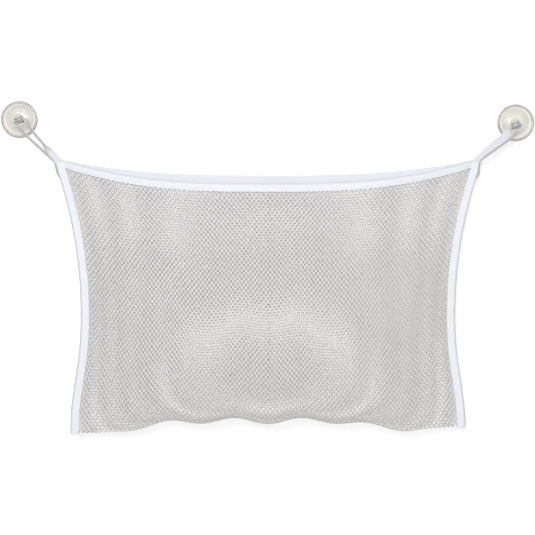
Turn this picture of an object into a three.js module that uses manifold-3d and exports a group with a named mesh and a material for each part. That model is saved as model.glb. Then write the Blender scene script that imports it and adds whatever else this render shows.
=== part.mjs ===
// Bath toy organizer: a net bag with taped edges that hangs on two suction cups by two tape loops.
// Millimetres. X runs along the wall, +Y points into the wall and +Z up.
// The origin lies on the wall, midway between the centres of the suction cups.

import * as THREE from "three";
import { mergeVertices } from "three/addons/utils/BufferGeometryUtils.js";
import Module from "manifold-3d";

const wasm = await Module();
wasm.setup();

// Clearances
const SEWN_GAP = 0.3;
const HOLE_CLEARANCE = 0.35;
const LEG_CLEARANCE = 0.5;

// Suction cups: a soft dish, and a domed head with a cross hole for the loop
const CUP_OVERHANG = 38.5;
const CUP_DIAMETER = 40;
const CUP_LIP_WIDTH = 1.8;
const CUP_RIM_WIDTH = 3;
const CUP_RIM_THICKNESS = 1.3;
const CUP_RIM_STEP = 0.5;
const CUP_HOLLOW_DEPTH = 6.2;
const CUP_HOLLOW_CURVE = 3.2;
const CUP_DISH_HEIGHT = 9;
const CUP_DISH_CURVE = 0.9;
const HEAD_WALL = 2.6;
const HEAD_SHANK = 1;

// Hanging loops: folded tape, gathered where it passes through the head of a cup
const LOOP_TAPE_WIDTH = 7.5;
const LOOP_TAPE_THICKNESS = 1.8;
const LOOP_GATHER_WIDTH = 4.6;
const LOOP_GATHER_THICKNESS = 2.4;
const LOOP_GATHER_LENGTH = 14;
const LOOP_TWIST_LENGTH = 18;
const LOOP_BEND_LENGTH = 10;
const LOOP_LEAN = 33;
const LOOP_HEAD_RUN = 2;
const LOOP_HEAD_TURN = 0.08;

// Outline of the bag, seen from the front
const CORNER_DROP = 42;
const SIDE_HEIGHT = 292;
const TOP_WIDTH = 462;
const WAIST_WIDTH = 403;
const BOTTOM_WIDTH = 432;
const WAIST_DROP = 168;
const UPPER_FLARE_CURVE = 2;
const LOWER_FLARE_CURVE = 1.6;
const BACK_HEM_SAG = 15;
const FRONT_HEM_SAG = 27;
const HEM_CURVE = 2.9;
const FOLD_RISE = 10;
const FOLD_CURVE = 3;
const LOBE_HEIGHT = 2.6;
const LOBE_PITCH = 76;

// Depth of the bag, measured from the plane of the side seams
const SEAM_LEAN = 4;
const HEM_FORWARD = 24;
const BELLY_FORWARD = 58;
const BELLY_DROP = 158;
const BACK_HEM_SET = 6;
const BACK_SET = 8;
const BACK_TURN_DROP = 238;
const FOLD_FORWARD = 7;
const BELLY_CURVE = 2.5;

// Sewn materials
const TAPE_WIDTH = 9;
const TAPE_EDGE_EASE = 0.3;
const SIDE_TAPE_THICKNESS = 2.6;
const HEM_THICKNESS = 2.2;
const NET_THICKNESS = 0.8;
const NET_GAPS_ACROSS = 12;
const NET_GAPS_DOWN = 8;
const NET_GAP_SHARE = 0.5;
const THREAD_DIAMETER = 0.5;
const THREAD_INSET = 2.2;
const THREAD_REACH = 0.985;
const BARTACK_HEIGHT = 2.4;
const BARTACK_THICKNESS = 0.6;

// How finely the curved pieces are divided
const CUP_SEGMENTS = 36;
const CUP_ARC_STEPS = 7;
const HOLE_SEGMENTS = 24;
const FRONT_ROWS_ABOVE_TURN = 0.58;
const BACK_ROWS_ABOVE_TURN = 0.75;
const TAPE_STEPS = 30;
const THREAD_SIDES = 6;
const LEG_STEPS = 16;
const HEAD_STEPS = 26;
const BARTACK_STEPS = 4;
const SLOPE_STEP = 1e-3;
const MERGE_DISTANCE = 1e-4;

// Sizes that follow from the ones above
const holeRadius = Math.hypot(LOOP_GATHER_WIDTH, LOOP_GATHER_THICKNESS) / 2 + HOLE_CLEARANCE;
const headRadius = holeRadius + HEAD_WALL;
const holeDepth = CUP_DISH_HEIGHT + HEAD_SHANK + headRadius;
const loopStack = LOOP_TAPE_THICKNESS / 2 + SEWN_GAP / 2;
const cupX = TOP_WIDTH / 2 + CUP_OVERHANG;
const cornerZ = -CORNER_DROP;
const foldCornerZ = cornerZ - SIDE_HEIGHT;
const waistZ = cornerZ - WAIST_DROP;
const up = new THREE.Vector3(0, 0, 1);
const intoWall = new THREE.Vector3(0, 1, 0);

const clearVinyl = new THREE.MeshStandardMaterial({ color: 0xe2e0d8, roughness: 0.12, metalness: 0 });
const whiteTape = new THREE.MeshStandardMaterial({ color: 0xf0f2f6, roughness: 0.8, metalness: 0 });
const whiteNet = new THREE.MeshStandardMaterial({ color: 0xe6e7ea, roughness: 0.75, metalness: 0 });
const whiteThread = new THREE.MeshStandardMaterial({ color: 0xf6f6f6, roughness: 0.6, metalness: 0 });

function lerp(a, b, t) {
  return a + (b - a) * t;
}

function smooth(t) {
  const k = Math.min(1, Math.max(0, t));
  return k * k * (3 - 2 * k);
}

// A closed geometry from shared vertices, turned so that its faces look outward.
function closedGeometry(vertices, triangles) {
  let volume = 0;
  for (const [a, b, c] of triangles) {
    volume += vertices[a].dot(new THREE.Vector3().crossVectors(vertices[b], vertices[c]));
  }
  const faces = volume < 0 ? triangles.map(([a, b, c]) => [a, c, b]) : triangles;
  const geometry = new THREE.BufferGeometry();
  const positions = vertices.flatMap((p) => p.toArray());
  geometry.setAttribute("position", new THREE.Float32BufferAttribute(positions, 3));
  geometry.setIndex(faces.flat());
  geometry.computeVertexNormals();
  return geometry;
}

// A solid strip: one convex ring of points at each station, skinned together and capped at both ends.
function strip(rings) {
  const around = rings[0].length;
  const last = (rings.length - 1) * around;
  const triangles = [];
  for (let i = 0; i < last; i += around) {
    for (let j = 0; j < around; j += 1) {
      const k = (j + 1) % around;
      triangles.push([i + j, i + k, i + around + k], [i + j, i + around + k, i + around + j]);
    }
  }
  for (let j = 1; j < around - 1; j += 1) {
    triangles.push([0, j + 1, j], [last, last + j, last + j + 1]);
  }
  return closedGeometry(rings.flat(), triangles);
}

// Sweeps a section along a line of stations: each has its point, the direction of its width and its section.
// A station lies square to the line, or to the direction that it names as its face.
function sweep(stations) {
  const rings = stations.map(({ point, width, section, face }, i) => {
    const before = stations[Math.max(0, i - 1)].point;
    const after = stations[Math.min(stations.length - 1, i + 1)].point;
    const along = face ?? after.clone().sub(before).normalize();
    const across = width.clone().addScaledVector(along, -width.dot(along)).normalize();
    const normal = new THREE.Vector3().crossVectors(along, across);
    return section.map(([w, n]) => point.clone().addScaledVector(across, w).addScaledVector(normal, n));
  });
  return strip(rings);
}

// Section of a tape: a flat bar whose long edges are eased as a woven or folded edge is.
function tapeSection(width, thickness) {
  const w = width / 2;
  const t = thickness / 2;
  const ease = thickness * TAPE_EDGE_EASE;
  return [
    [-w + ease, -t], [w - ease, -t], [w, -t + ease], [w, t - ease],
    [w - ease, t], [-w + ease, t], [-w, t - ease], [-w, -t + ease],
  ];
}

function roundSection(diameter, sides) {
  const turns = Array.from({ length: sides }, (_, i) => (i / sides) * Math.PI * 2);
  return turns.map((a) => [Math.cos(a) * diameter / 2, Math.sin(a) * diameter / 2]);
}

// The same piece for the other side of the bag, mirrored in the plane X = 0.
function mirrored(geometry) {
  const copy = geometry.clone().scale(-1, 1, 1);
  const index = Array.from(copy.getIndex().array);
  copy.setIndex(index.map((_, i) => index[i - (i % 3) + [0, 2, 1][i % 3]]));
  copy.computeVertexNormals();
  return copy;
}

function steps(count) {
  return Array.from({ length: count + 1 }, (_, i) => i / count);
}

function solidOf(geometry) {
  const plain = new THREE.BufferGeometry();
  plain.setAttribute("position", geometry.getAttribute("position"));
  plain.setIndex(geometry.getIndex());
  const merged = mergeVertices(plain, MERGE_DISTANCE);
  const mesh = new wasm.Mesh({
    numProp: 3,
    vertProperties: new Float32Array(merged.getAttribute("position").array),
    triVerts: new Uint32Array(merged.getIndex().array),
  });
  mesh.merge();
  return new wasm.Manifold(mesh);
}

function geometryOf(solid) {
  const mesh = solid.getMesh();
  const geometry = new THREE.BufferGeometry();
  geometry.setAttribute("position", new THREE.BufferAttribute(new Float32Array(mesh.vertProperties), 3));
  geometry.setIndex(new THREE.BufferAttribute(new Uint32Array(mesh.triVerts), 1));
  geometry.computeVertexNormals();
  return geometry;
}

// Suction cup, one moulding of soft clear vinyl. Its axis is Y, with the sealing lip on the wall at Y = 0.
// The turned profile runs from the tip of the head over the dish and the lip to the middle of the hollow.
function cupGeometry() {
  const radius = CUP_DIAMETER / 2;
  const lipInner = radius - CUP_LIP_WIDTH;
  const dishOuter = radius - CUP_RIM_WIDTH;
  const dishFoot = CUP_RIM_THICKNESS + CUP_RIM_STEP;
  const quarter = steps(CUP_ARC_STEPS).map((t) => t * Math.PI / 2);
  const dome = quarter.map((a) => [headRadius * Math.sin(a), -holeDepth - headRadius * Math.cos(a)]);
  const dish = steps(CUP_ARC_STEPS).map((t) => [
    lerp(headRadius, dishOuter, t),
    -lerp(dishFoot, CUP_DISH_HEIGHT, Math.sin((1 - t) * Math.PI / 2) ** CUP_DISH_CURVE),
  ]);
  const rim = [[radius, -CUP_RIM_THICKNESS], [radius, 0]];
  const hollow = quarter.map((a) => [
    lipInner * Math.cos(a),
    -CUP_HOLLOW_DEPTH * (1 - Math.cos(a) ** CUP_HOLLOW_CURVE),
  ]);
  const profile = [...dome, ...dish, ...rim, ...hollow].map(([r, y]) => new THREE.Vector2(r, y));
  profile[profile.length - 1].x = 0;
  const turned = new THREE.LatheGeometry(profile, CUP_SEGMENTS);
  const hole = new THREE.CylinderGeometry(holeRadius, holeRadius, headRadius * 3, HOLE_SEGMENTS);
  hole.rotateZ(Math.PI / 2);
  hole.translate(0, -holeDepth, 0);
  return geometryOf(solidOf(turned).subtract(solidOf(hole)));
}

// Outer edge of the bag: half its width at a height, narrowest at the waist.
function outerHalfWidth(z) {
  const above = z > waistZ;
  const span = above ? WAIST_DROP : SIDE_HEIGHT - WAIST_DROP;
  const flare = ((above ? TOP_WIDTH : BOTTOM_WIDTH) - WAIST_WIDTH) / 2;
  const curve = above ? UPPER_FLARE_CURVE : LOWER_FLARE_CURVE;
  return WAIST_WIDTH / 2 + flare * (Math.abs(z - waistZ) / span) ** curve;
}

function netHalfWidth(z) {
  return outerHalfWidth(z) - TAPE_WIDTH - SEWN_GAP;
}

// Depth of the side seams: they hang at the depth of the loops and lean a little from the wall lower down.
function seamY(z) {
  return -holeDepth - SEAM_LEAN * (cornerZ - z) / SIDE_HEIGHT;
}

// Where a loop is sewn on: the top of the side tape, close to its outer edge.
const loopEnd = new THREE.Vector3(
  outerHalfWidth(cornerZ) - LOOP_TAPE_WIDTH / 2 - SEWN_GAP, seamY(cornerZ), cornerZ);

// The front and the back of the bag differ only in these values. Depths count away from the wall.
const front = {
  facing: -1,
  sag: FRONT_HEM_SAG,
  hemDepth: HEM_FORWARD,
  depth: BELLY_FORWARD,
  turn: BELLY_DROP,
  upperShare: FRONT_ROWS_ABOVE_TURN,
};
const back = {
  facing: 1,
  sag: BACK_HEM_SAG,
  hemDepth: -BACK_HEM_SET,
  depth: -BACK_SET,
  turn: BACK_TURN_DROP,
  upperShare: BACK_ROWS_ABOVE_TURN,
};

function hemTop(panel, u) {
  return cornerZ - panel.sag * (1 - Math.abs(u) ** HEM_CURVE);
}

// Bottom fold of the net: it rises toward the middle and hangs in shallow lobes.
function foldZ(u) {
  const arch = FOLD_RISE * (1 - Math.abs(u) ** FOLD_CURVE);
  const lobes = LOBE_HEIGHT * Math.cos(Math.PI * BOTTOM_WIDTH * u / LOBE_PITCH) * (1 - u * u);
  return foldCornerZ + arch - lobes;
}

// How far a panel stands out at a place across it: full over the middle, nothing at the side seams.
function fullness(u) {
  return 1 - Math.abs(u) ** BELLY_CURVE;
}

// A point on a panel of net: u runs from -1 to 1 across it, s from 0 at the hem to 1 at the bottom fold.
function netPoint(panel, u, s) {
  const turn = panel.turn / SIDE_HEIGHT;
  let drop;
  let depth;
  if (s <= panel.upperShare) {
    const t = s / panel.upperShare;
    drop = turn * t;
    depth = lerp(panel.hemDepth, panel.depth, Math.sin(t * Math.PI / 2) ** 2);
  } else {
    const a = (s - panel.upperShare) / (1 - panel.upperShare) * Math.PI / 2;
    drop = turn + (1 - turn) * Math.sin(a);
    depth = FOLD_FORWARD + (panel.depth - FOLD_FORWARD) * Math.cos(a);
  }
  const z = lerp(hemTop(panel, u) - TAPE_WIDTH - SEWN_GAP, foldZ(u), drop);
  const layer = panel.facing * (NET_THICKNESS / 2 + SEWN_GAP);
  const y = seamY(z) + layer - depth * fullness(u);
  return new THREE.Vector3(u * netHalfWidth(z), y, z);
}

// Grid lines over one side of a panel, as shares of it: a bar of net between every two rows of gaps.
function netLines(gaps) {
  const pitch = 1 / (gaps + 1 - NET_GAP_SHARE);
  const lines = [0];
  for (let i = 1; i <= gaps; i += 1) lines.push((i - NET_GAP_SHARE) * pitch, i * pitch);
  return [...lines, 1];
}

// One panel of net as a thin closed sheet, half its thickness to each side of the panel's surface.
// A plain grid of gaps stands for the fine mesh.
function netGeometry(panel) {
  const vertices = [[], []];
  const d = SLOPE_STEP;
  const columns = netLines(NET_GAPS_ACROSS);
  const rows = netLines(NET_GAPS_DOWN);
  for (const s of rows) {
    for (const t of columns) {
      const u = t * 2 - 1;
      const across = netPoint(panel, Math.min(1, u + d), s).sub(netPoint(panel, Math.max(-1, u - d), s));
      const down = netPoint(panel, u, Math.min(1, s + d)).sub(netPoint(panel, u, Math.max(0, s - d)));
      const normal = across.cross(down).normalize();
      const middle = netPoint(panel, u, s);
      vertices[0].push(middle.clone().addScaledVector(normal, NET_THICKNESS / 2));
      vertices[1].push(middle.clone().addScaledVector(normal, -NET_THICKNESS / 2));
    }
  }
  const wide = columns.length;
  const lastColumn = wide - 1;
  const lastRow = rows.length - 1;
  const far = vertices[0].length;
  const triangles = [];
  function addWalls(outline) {
    outline.forEach((a, i) => {
      const b = outline[(i + 1) % outline.length];
      triangles.push([a, b, far + b], [a, far + b, far + a]);
    });
  }
  for (let r = 0; r < lastRow; r += 1) {
    for (let c = 0; c < lastColumn; c += 1) {
      const a = r * wide + c;
      const b = far + a;
      if (r % 2 && c % 2) {
        addWalls([a, a + 1, a + wide + 1, a + wide]);
      } else {
        triangles.push([a, a + 1, a + wide + 1], [a, a + wide + 1, a + wide]);
        triangles.push([b, b + wide + 1, b + 1], [b, b + wide, b + wide + 1]);
      }
    }
  }
  const rim = [];
  for (let r = 0; r < lastRow; r += 1) rim.push(r * wide);
  for (let c = 0; c < lastColumn; c += 1) rim.push(lastRow * wide + c);
  for (let r = lastRow; r > 0; r -= 1) rim.push(r * wide + lastColumn);
  for (let c = lastColumn; c > 0; c -= 1) rim.push(c);
  addWalls(rim);
  return closedGeometry(vertices.flat(), triangles);
}

// A point of the tape folded over a mouth edge: drop counts down from its top edge, lift away from the wall.
function hemPoint(panel, u, drop, lift) {
  const z = hemTop(panel, u) - drop;
  const layer = panel.facing * (HEM_THICKNESS / 2 + SEWN_GAP / 2);
  const y = seamY(z) + layer - lift - panel.hemDepth * fullness(u);
  return new THREE.Vector3(u * netHalfWidth(z), y, z);
}

function hemGeometry(panel) {
  const section = tapeSection(TAPE_WIDTH, HEM_THICKNESS);
  return strip(steps(TAPE_STEPS).map((t) => (
    section.map(([w, n]) => hemPoint(panel, t * 2 - 1, TAPE_WIDTH / 2 + w, n)))));
}

// A point of the tape that binds the right side seam: t runs from the bottom corner to the top one.
function sidePoint(t, inset, lift) {
  const z = lerp(foldCornerZ, cornerZ, t);
  return new THREE.Vector3(outerHalfWidth(z) - inset, seamY(z) - lift, z);
}

function sideTapeGeometry() {
  const section = tapeSection(TAPE_WIDTH, SIDE_TAPE_THICKNESS);
  return strip(steps(TAPE_STEPS).map((t) => (
    section.map(([w, n]) => sidePoint(t, TAPE_WIDTH / 2 + w, n)))));
}

// Sewing thread along the inner edge of a hem, on the face that looks out of the bag.
function hemThreadGeometry(panel) {
  const lift = -panel.facing * (HEM_THICKNESS / 2 + SEWN_GAP + THREAD_DIAMETER / 2);
  const section = roundSection(THREAD_DIAMETER, THREAD_SIDES);
  return sweep(steps(TAPE_STEPS).map((t) => {
    const point = hemPoint(panel, lerp(-THREAD_REACH, THREAD_REACH, t), TAPE_WIDTH - THREAD_INSET, lift);
    return { point, width: intoWall, section };
  }));
}

// Sewing thread along the inner edge of a side tape, on its front face.
function sideThreadGeometry() {
  const lift = SIDE_TAPE_THICKNESS / 2 + SEWN_GAP + THREAD_DIAMETER / 2;
  const section = roundSection(THREAD_DIAMETER, THREAD_SIDES);
  return sweep(steps(TAPE_STEPS).map((t) => {
    const point = sidePoint(lerp(1 - THREAD_REACH, THREAD_REACH, t), TAPE_WIDTH - THREAD_INSET, lift);
    return { point, width: intoWall, section };
  }));
}

// Bar of close stitches across the end of a loop, where it is sewn to the top of the side tape.
function bartackGeometry() {
  const { x, y, z } = loopEnd;
  const face = Math.max(SIDE_TAPE_THICKNESS / 2, loopStack + LOOP_TAPE_THICKNESS / 2);
  const lift = face + SEWN_GAP + BARTACK_THICKNESS / 2;
  const section = tapeSection(BARTACK_HEIGHT, BARTACK_THICKNESS);
  return sweep(steps(BARTACK_STEPS).map((t) => {
    const point = new THREE.Vector3(x + LOOP_TAPE_WIDTH * (t - 0.5), y - lift, z);
    return { point, width: up, section };
  }));
}

// One hanging loop: up from the corner, through the cross hole of the cup, round under the head and back.
// Flat against the corner the two legs lie on each other; nearer the cup they turn edge-on and part.
function loopGeometry() {
  const hole = new THREE.Vector3(cupX, -holeDepth, 0);
  const end = loopEnd.clone().addScaledVector(up, SEWN_GAP);
  const lean = THREE.MathUtils.degToRad(LOOP_LEAN);
  const leaning = new THREE.Vector3(Math.sin(lean), 0, Math.cos(lean));
  const bend = end.clone().addScaledVector(leaning, LOOP_BEND_LENGTH);
  const middle = new THREE.QuadraticBezierCurve3(end, bend, hole);
  const length = middle.getLength();
  const slope = Math.atan2(hole.z - bend.z, hole.x - bend.x);
  const reach = headRadius + LEG_CLEARANCE + LOOP_GATHER_THICKNESS / 2;

  // The tape lies flat along the legs and is gathered close to the head.
  function station(point, width) {
    const flat = smooth((point.distanceTo(hole) - reach) / LOOP_GATHER_LENGTH);
    const section = tapeSection(
      lerp(LOOP_GATHER_WIDTH, LOOP_TAPE_WIDTH, flat),
      lerp(LOOP_GATHER_THICKNESS, LOOP_TAPE_THICKNESS, flat));
    return { point, width, section };
  }

  // The legs share one middle line. Their common normal turns from the wall's to the loop's own plane.
  function leg(sign, spread, headGap) {
    const until = 1 - headGap / length;
    const stations = steps(LEG_STEPS).map((t) => {
      const share = t * until;
      const turn = smooth(share * length / LOOP_TWIST_LENGTH) * Math.PI / 2;
      const along = middle.getTangentAt(share);
      const flat = new THREE.Vector3().crossVectors(along, intoWall).normalize();
      const normal = flat.multiplyScalar(Math.sin(turn)).addScaledVector(intoWall, -Math.cos(turn));
      const apart = sign * lerp(loopStack, spread, smooth(t));
      const point = middle.getPointAt(share).addScaledVector(normal, apart);
      return station(point, new THREE.Vector3().crossVectors(normal, along));
    });
    return stations;
  }

  // A point in the plane of the loop, by its angle round the head from the side that looks to the bag.
  function atHead(angle, radius) {
    return hole.clone().add(new THREE.Vector3(-Math.cos(angle) * radius, 0, Math.sin(angle) * radius));
  }

  const inner = leg(1, reach * Math.sin(slope), reach + LOOP_HEAD_RUN);
  const outer = leg(-1, reach, LOOP_HEAD_RUN);
  inner[0].face = up;
  outer[0].face = up.clone().negate();
  outer.reverse();
  const tangent = Math.PI * 1.5 - slope;
  const round = new THREE.CatmullRomCurve3([
    inner[inner.length - 1].point,
    atHead(-LOOP_HEAD_TURN, reach),
    atHead(0, holeRadius),
    atHead(0, 0),
    atHead(Math.PI, holeRadius),
    atHead(Math.PI + LOOP_HEAD_TURN, reach),
    atHead((Math.PI + tangent) / 2, reach),
    atHead(tangent, reach),
    outer[0].point,
  ], false, "centripetal");
  const head = round.getSpacedPoints(HEAD_STEPS).slice(1, -1).map((point) => station(point, intoWall));
  return sweep([...inner, ...head, ...outer]);
}

// The cups stay on the wall. The bag swings under them, and its front moves by itself as the mouth opens.
const organizer = new THREE.Group();
const cups = new THREE.Group();
const bag = new THREE.Group();
const bagFront = new THREE.Group();
organizer.add(cups, bag);
bag.add(bagFront);

function addPiece(group, name, geometry, material) {
  const mesh = new THREE.Mesh(geometry, material);
  mesh.name = name;
  group.add(mesh);
  return mesh;
}

addPiece(cups, "right_suction_cup", cupGeometry(), clearVinyl).position.x = cupX;
addPiece(cups, "left_suction_cup", cupGeometry(), clearVinyl).position.x = -cupX;

const sidePieces = [
  ["hanging_loop", loopGeometry(), whiteTape],
  ["side_binding", sideTapeGeometry(), whiteTape],
  ["side_thread", sideThreadGeometry(), whiteThread],
  ["corner_bartack", bartackGeometry(), whiteThread],
];
for (const [name, geometry, material] of sidePieces) {
  addPiece(bag, `right_${name}`, geometry, material);
  addPiece(bag, `left_${name}`, mirrored(geometry), material);
}
for (const [group, name, panel] of [[bagFront, "front", front], [bag, "back", back]]) {
  addPiece(group, `${name}_net`, netGeometry(panel), whiteNet);
  addPiece(group, `${name}_top_binding`, hemGeometry(panel), whiteTape);
  addPiece(group, `${name}_top_thread`, hemThreadGeometry(panel), whiteThread);
}

export default organizer;
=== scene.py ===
"""Bath toy organizer: a net bag with taped edges that hangs on two clear suction cups by two tape loops.

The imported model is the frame, in metres: X runs along the wall, +Y points into it and +Z up.
"""

import math

import bmesh
import bpy
import numpy as np
from mathutils import Matrix, Vector, noise


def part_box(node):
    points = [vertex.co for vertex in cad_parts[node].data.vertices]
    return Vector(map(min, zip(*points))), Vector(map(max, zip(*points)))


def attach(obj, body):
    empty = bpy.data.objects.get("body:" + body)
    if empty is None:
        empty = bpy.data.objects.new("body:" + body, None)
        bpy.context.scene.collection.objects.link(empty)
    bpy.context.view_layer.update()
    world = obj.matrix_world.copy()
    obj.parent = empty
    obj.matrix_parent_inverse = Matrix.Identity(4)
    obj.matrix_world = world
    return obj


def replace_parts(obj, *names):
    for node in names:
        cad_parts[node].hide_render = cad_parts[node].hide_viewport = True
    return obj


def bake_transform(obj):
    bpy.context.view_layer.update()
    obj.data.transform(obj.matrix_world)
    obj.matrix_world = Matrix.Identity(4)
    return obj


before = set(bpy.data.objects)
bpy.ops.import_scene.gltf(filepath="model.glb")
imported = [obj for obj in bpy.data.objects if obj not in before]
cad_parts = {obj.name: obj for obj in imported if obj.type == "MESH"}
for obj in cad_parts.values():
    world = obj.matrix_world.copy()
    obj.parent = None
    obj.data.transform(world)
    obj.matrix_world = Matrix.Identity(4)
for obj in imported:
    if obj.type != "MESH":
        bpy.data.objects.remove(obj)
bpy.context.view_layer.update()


# The room: a pale wall that the cups are pressed on, a pale floor below, and soft light from large lamps.
# The fill lamp casts no shadow, so the inside of the bag isn't dark; the back lamp lights only the back.
# The wall shows only from its front and lets light pass, so the bag can be looked at from behind too.
PICTURE_WIDTH = 0.5755
LENS = 85
SENSOR = 36
AIM = Vector((-0.0005, -0.018, -0.1580))
ROOM_WIDTH = 6.0
WALL_WIDTH = 1.7
WALL_TOP = 0.9
FLOOR_Z = -0.62
WALL_Y = 0.0004
WALL_COLOUR = (0.86, 0.86, 0.86, 1)
WALL_GLOW = 0.28
FLOOR_GLOW = 0.44
AMBIENT = 0.32
LAMPS = {
    "key_lamp": {"place": (-0.35, -1.70, 0.55), "size": 0.9, "power": 14.0, "shadow": True},
    "fill_lamp": {"place": (0.30, -1.65, 0.40), "size": 1.2, "power": 9.5, "shadow": False},
    "back_lamp": {"place": (0.40, 1.60, 0.50), "size": 1.2, "power": 9.0, "shadow": True},
}

scene = bpy.context.scene
scene.view_settings.view_transform = "Standard"


class Wire:
    """One output of a node. Sums and products of wires and numbers add Math nodes to its tree."""

    def __init__(self, graph, node, output):
        self.graph = graph
        self.node = node
        self.socket = node.outputs[output]

    def output(self, name):
        return Wire(self.graph, self.node, name)

    def math(self, operation, *others):
        return self.graph.add("ShaderNodeMath", {"operation": operation}, dict(enumerate((self, *others))))

    def __add__(self, other):
        return self.math("ADD", other)

    def __sub__(self, other):
        return self.math("SUBTRACT", other)

    def __mul__(self, other):
        return self.math("MULTIPLY", other)

    def __truediv__(self, other):
        return self.math("DIVIDE", other)

    def __rsub__(self, other):
        return self.graph.add("ShaderNodeMath", {"operation": "SUBTRACT"}, {0: other, 1: self})

    def __rtruediv__(self, other):
        return self.graph.add("ShaderNodeMath", {"operation": "DIVIDE"}, {0: other, 1: self})

    __radd__ = __add__
    __rmul__ = __mul__


class Graph:
    """A node tree that is written as calls: each adds one node, sets it and its sockets, and gives an output.
    A tuple of wires is joined to a single socket."""

    def __init__(self, tree):
        self.tree = tree

    def add(self, kind, settings=None, sockets=None, output=0):
        node = self.tree.nodes.new(kind)
        for name, value in (settings or {}).items():
            setattr(node, name, value)
        for name, value in (sockets or {}).items():
            several = isinstance(value, tuple) and isinstance(value[0], Wire)
            for one in value if several else (value,):
                if isinstance(one, Wire):
                    self.tree.links.new(one.socket, node.inputs[name])
                else:
                    node.inputs[name].default_value = one
        return Wire(self, node, output) if node.outputs else None

    def mix(self, factor, first, second):
        return self.add("ShaderNodeMix", {"data_type": "RGBA"}, {0: factor, 6: first, 7: second}, 2)


def finish_named(name, surface):
    """A material whose surface is what the given function builds in its tree."""
    material = bpy.data.materials.new(name)
    material.use_nodes = True
    material.node_tree.nodes.clear()
    graph = Graph(material.node_tree)
    graph.add("ShaderNodeOutputMaterial", None, {"Surface": surface(graph)})
    return material


def rays_that_see(graph):
    """1 for the rays that show the room: straight from the camera, mirrored, or through clear vinyl."""
    path = graph.add("ShaderNodeLightPath")
    seen = path.output("Is Camera Ray").math("MAXIMUM", path.output("Is Glossy Ray"))
    return seen.math("MAXIMUM", path.output("Is Transmission Ray"))


def pale_paint(graph, glow_strength):
    paint = graph.add("ShaderNodeBsdfDiffuse", None, {"Color": WALL_COLOUR})
    glow = graph.add("ShaderNodeEmission", None, {"Strength": rays_that_see(graph) * glow_strength})
    return graph.add("ShaderNodeAddShader", None, {0: paint, 1: glow})


def one_way_paint(graph):
    front = 1 - graph.add("ShaderNodeNewGeometry").output("Backfacing")
    clear = graph.add("ShaderNodeBsdfTransparent")
    paint = pale_paint(graph, WALL_GLOW)
    return graph.add("ShaderNodeMixShader", None, {0: rays_that_see(graph) * front, 1: clear, 2: paint})


def add_piece(name, mesh, finish):
    mesh.materials.clear()
    mesh.materials.append(finish)
    mesh.shade_smooth()
    piece = bpy.data.objects.new(name, mesh)
    scene.collection.objects.link(piece)
    return piece


def room_sheet(name, corners, finish):
    mesh = bpy.data.meshes.new(name)
    mesh.from_pydata(corners, [], [(0, 1, 2, 3)])
    add_piece(name, mesh, finish)


half_wall = WALL_WIDTH / 2
half_room = ROOM_WIDTH / 2
room_sheet("wall", [
    (-half_wall, WALL_Y, FLOOR_Z), (half_wall, WALL_Y, FLOOR_Z),
    (half_wall, WALL_Y, WALL_TOP), (-half_wall, WALL_Y, WALL_TOP),
], finish_named("wall_paint", one_way_paint))
room_sheet("floor", [
    (-half_room, -half_room, FLOOR_Z), (half_room, -half_room, FLOOR_Z),
    (half_room, half_room, FLOOR_Z), (-half_room, half_room, FLOOR_Z),
], finish_named("floor_paint", lambda graph: pale_paint(graph, FLOOR_GLOW)))

world = bpy.data.worlds.new("soft_daylight")
world.use_nodes = True
world.node_tree.nodes.clear()
sky = Graph(world.node_tree)
sky.add("ShaderNodeOutputWorld", None, {"Surface": sky.add("ShaderNodeBackground", None, {
    "Color": (1, 1, 1, 1), "Strength": rays_that_see(sky) * (1 - AMBIENT) + AMBIENT})})
scene.world = world

for name, made in LAMPS.items():
    lamp = bpy.data.lights.new(name, "AREA")
    lamp.size = made["size"]
    lamp.energy = made["power"]
    lamp.use_shadow = made["shadow"]
    holder = bpy.data.objects.new(name, lamp)
    holder.location = made["place"]
    holder.rotation_euler = (AIM - holder.location).to_track_quat("-Z", "Y").to_euler()
    scene.collection.objects.link(holder)

# The camera looks square at the wall.
lens = bpy.data.cameras.new("camera")
lens.lens = LENS
lens.sensor_width = SENSOR
camera = bpy.data.objects.new("camera", lens)
camera.location = AIM - Vector((0, PICTURE_WIDTH * LENS / SENSOR, 0))
camera.rotation_euler = (math.pi / 2, 0, 0)
scene.collection.objects.link(camera)
scene.camera = camera


# The net: one piece of knitted white polyester with rounded diamond holes in staggered rows, folded at the
# bottom. Its sides are drawn in as the bag hangs, its front bellies out, and its edges lie in the tapes.
# Each panel is cut at the middle into two halves, so that the front can follow the opening mouth.
SIDE_HEIGHT = 0.292
CORNER_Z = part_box("right_side_binding")[1].z
FOLD_CORNER_Z = CORNER_Z - SIDE_HEIGHT
TOP_WIDTH = 0.462
WAIST_WIDTH = 0.403
BOTTOM_WIDTH = 0.4246
WAIST_DROP = 0.168
WAIST_Z = CORNER_Z - WAIST_DROP
UPPER_FLARE_CURVE = 2.0
LOWER_FLARE_SPAN = 0.94
LOWER_FLARE_CURVE = 1.3
SEAM_DEPTH = 0.015544
SEAM_LEAN = 0.004
TAPE_WIDTH = 0.009
SEWN_GAP = 0.0003
HEM_CURVE = 2.9
BELLY_CURVE = 2.5
FOLD_FORWARD = 0.007
FOLD_RISE = 0.0125
FOLD_LOW_FROM = 0.86
FOLD_RISE_SPAN = 0.50
FOLD_SHIFT = 0.05
FOLD_SKEW = 0.0036
LOBE_HEIGHT = 0.0033
LOBE_PITCH = 0.076
FRONT = {
    "facing": -1, "sag": 0.027, "hem": 0.024, "depth": 0.058, "turn": 0.158, "tail": 0.022, "seed": 3.0,
}
BACK = {
    "facing": 1, "sag": 0.0164, "hem": -0.006, "depth": -0.008, "turn": 0.238, "tail": 0.0, "seed": 11.0,
}
NET_LAYER = 0.0007
NET_LAYER_IN_SEAM = 0.0004
NET_SEAM_FROM = 0.96
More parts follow.
